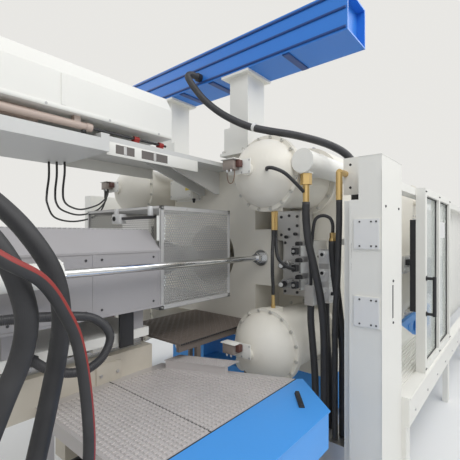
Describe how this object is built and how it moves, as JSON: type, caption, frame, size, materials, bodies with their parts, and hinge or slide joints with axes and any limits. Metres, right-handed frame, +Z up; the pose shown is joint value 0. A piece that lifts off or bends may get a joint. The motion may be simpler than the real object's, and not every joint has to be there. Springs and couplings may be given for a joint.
{
  "type": "injection moulding machine",
  "caption": "Two-platen injection moulding machine: locking nuts on grooved tie bars, a screw unit on a sliding carriage, a second unit above it and sliding guard doors.",
  "frame": {"origin": "centre of the fixed platen's mould face, on the machine's axis, 1.585 m above the floor", "axes": "+X from the injection side to the clamp side, +Y to the far side of the machine, +Z up"},
  "size_m": [9.9, 3.788, 3.505],
  "materials": {
    "cream_paint": "semi-gloss cream machine paint, clean",
    "platen_paint": "satin paint on rough castings",
    "blue_paint": "satin bright blue paint",
    "grey_paint": "satin grey sheet paint",
    "beige_paint": "satin beige paint, a little oily",
    "pale_grey_paint": "satin pale blue-grey paint",
    "bright_steel": "ground and oiled",
    "chrome_rod": "polished",
    "dark_steel": "blackened",
    "tread_plate": "raised tread pattern, scuffed",
    "mesh_steel": "brown-grey expanded mesh",
    "perforated_sheet": "perforated sheet",
    "brass": "plated brass",
    "bronze": "bearing bronze",
    "zinc": "plated blocks",
    "black_plastic": "matt black moulding",
    "grey_plastic": "pale grey moulding",
    "black_hose": "wrapped rubber hose",
    "grey_conduit": "corrugated conduit",
    "clear_sheet": "clear polycarbonate",
    "rubber_pad": "ribbed pads and black discs"
  },
  "bodies": {
    "frame": {"clamp_bed": "blue_paint", "levelling_feet": "rubber_pad", "bed_ways": "bright_steel", "fixed_platen": "platen_paint", "clamp_cylinders": "platen_paint", "cylinder_covers": "platen_paint", "cover_bolts": "dark_steel", "tie_bars": "bright_steel", "traverse_barrels": "cream_paint", "injection_base": "beige_paint", "injection_ways": "bright_steel", "carriage_rods": "chrome_rod", "upper_stand": "pale_grey_paint", "upper_rod": "dark_steel", "side_deck": "blue_paint", "beam_posts": "cream_paint", "robot_beam": "blue_paint", "tread_deck": "tread_plate", "mesh_deck": "mesh_steel", "junction_box": "cream_paint", "pilot_valves": "cream_paint", "valve_blocks": "zinc", "valve_connectors": "black_plastic", "hose_fittings": "brass", "sensor_boxes": "grey_plastic", "guard_frame": "cream_paint", "guard_panels": "cream_paint", "fixing_plates": "pale_grey_paint", "part_chute": "cream_paint", "beam_conduit": "grey_conduit", "supply_hose_a": "black_hose", "supply_hose_b": "black_hose", "supply_hose_c": "black_hose", "manifold_hoses": "black_hose", "sensor_cables": "black_hose"},
    "moving_platen": {"moving_platen": "platen_paint", "platen_shoes": "bronze", "lock_housings": "cream_paint", "traverse_rods": "chrome_rod"},
    "lock_jaws_near": {"lock_jaws_near": "bright_steel"},
    "lock_jaws_far": {"lock_jaws_far": "bright_steel"},
    "ejector": {"ejector_plate": "bright_steel"},
    "front_door": {"front_door_frame": "cream_paint", "front_door_panes": "clear_sheet", "front_door_handle": "black_plastic"},
    "rear_door": {"rear_door_frame": "cream_paint", "rear_door_panes": "clear_sheet", "rear_door_handle": "black_plastic"},
    "carriage": {"carriage_frame": "cream_paint", "barrel": "bright_steel", "heater_bands": "zinc", "carriage_covers": "grey_paint", "nozzle_guard": "perforated_sheet", "unit_cylinders": "cream_paint", "hopper": "zinc", "carriage_conduit": "grey_conduit"},
    "drive": {"drive_block": "cream_paint"},
    "screw": {"screw": "bright_steel"},
    "upper_unit": {"upper_housing": "cream_paint", "upper_cylinder": "cream_paint"}
  },
  "joints": [
    {"name": "platen_slide", "type": "slide", "parent": "frame", "child": "moving_platen", "axis": [1, 0, 0], "range_m": [-0.45, 1.25]},
    {"name": "lock_near_slide", "type": "slide", "parent": "moving_platen", "child": "lock_jaws_near", "axis": [0, 1, 0], "range_m": [0, 0.059]},
    {"name": "lock_far_slide", "type": "slide", "parent": "moving_platen", "child": "lock_jaws_far", "axis": [0, -1, 0], "range_m": [0, 0.059]},
    {"name": "ejector_slide", "type": "slide", "parent": "moving_platen", "child": "ejector", "axis": [-1, 0, 0], "range_m": [0, 0.2]},
    {"name": "front_door_slide", "type": "slide", "parent": "frame", "child": "front_door", "axis": [1, 0, 0], "range_m": [-0.55, 0.9]},
    {"name": "rear_door_slide", "type": "slide", "parent": "frame", "child": "rear_door", "axis": [1, 0, 0], "range_m": [-0.55, 0.9]},
    {"name": "carriage_slide", "type": "slide", "parent": "frame", "child": "carriage", "axis": [-1, 0, 0], "range_m": [0, 0.6]},
    {"name": "drive_slide", "type": "slide", "parent": "carriage", "child": "drive", "axis": [-1, 0, 0], "range_m": [0, 0.4]},
    {"name": "screw_spin", "type": "hinge", "parent": "drive", "child": "screw", "pos_m": [-4.6, 0, 0], "axis": [1, 0, 0], "continuous": true},
    {"name": "upper_slide", "type": "slide", "parent": "frame", "child": "upper_unit", "axis": [-1, 0, 0], "range_m": [0, 0.4]}
  ],
  "couplings": [
    {"joint": "lock_far_slide", "follows": "lock_near_slide", "ratio": 1}
  ]
}
